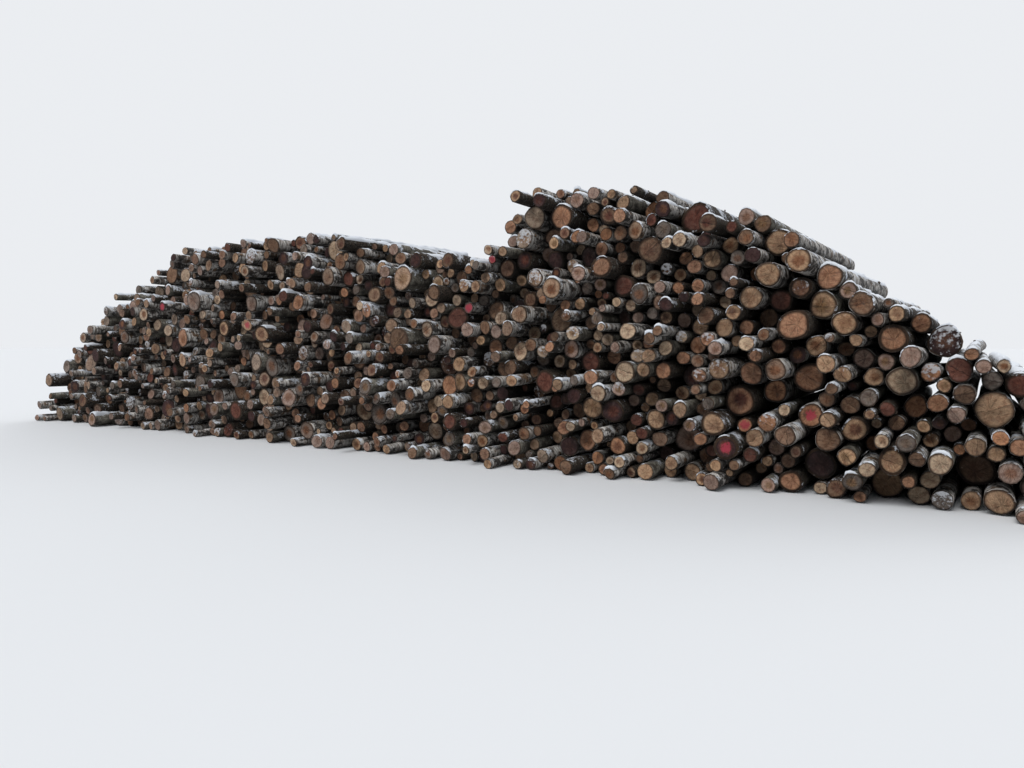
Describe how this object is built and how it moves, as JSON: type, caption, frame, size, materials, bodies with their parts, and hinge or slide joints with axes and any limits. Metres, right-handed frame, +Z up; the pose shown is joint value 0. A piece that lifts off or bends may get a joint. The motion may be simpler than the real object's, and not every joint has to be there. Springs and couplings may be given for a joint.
{
  "type": "stack of logs",
  "caption": "Long roadside stack of sawn round logs with bark, laid in each other's hollows, with level front and back faces of cut ends and a humped top.",
  "frame": {"origin": "on the ground, in the middle of the stack's length and depth", "axes": "+X along the stack, towards its lower, sloping end; +Y from the front ends into the pile; +Z up"},
  "size_m": [17.1984, 3.8, 3.4366],
  "materials": {
    "birch": "rough",
    "alder": "rough",
    "aspen": "rough"
  },
  "bodies": {
    "root": {"alder_logs_bay_01": "alder", "alder_logs_bay_02": "alder", "alder_logs_bay_03": "alder", "alder_logs_bay_04": "alder", "alder_logs_bay_05": "alder", "alder_logs_bay_06": "alder", "alder_logs_bay_07": "alder", "alder_logs_bay_08": "alder", "alder_logs_bay_09": "alder", "alder_logs_bay_10": "alder", "alder_logs_bay_11": "alder", "alder_logs_bay_12": "alder", "aspen_logs_bay_01": "aspen", "aspen_logs_bay_02": "aspen", "aspen_logs_bay_03": "aspen", "aspen_logs_bay_04": "aspen", "aspen_logs_bay_05": "aspen", "aspen_logs_bay_06": "aspen", "aspen_logs_bay_07": "aspen", "aspen_logs_bay_08": "aspen", "aspen_logs_bay_09": "aspen", "aspen_logs_bay_10": "aspen", "aspen_logs_bay_11": "aspen", "aspen_logs_bay_12": "aspen", "birch_logs_bay_01": "birch", "birch_logs_bay_02": "birch", "birch_logs_bay_03": "birch", "birch_logs_bay_04": "birch", "birch_logs_bay_05": "birch", "birch_logs_bay_06": "birch", "birch_logs_bay_07": "birch", "birch_logs_bay_08": "birch", "birch_logs_bay_09": "birch", "birch_logs_bay_10": "birch", "birch_logs_bay_11": "birch", "birch_logs_bay_12": "birch"}
  },
  "joints": []
}
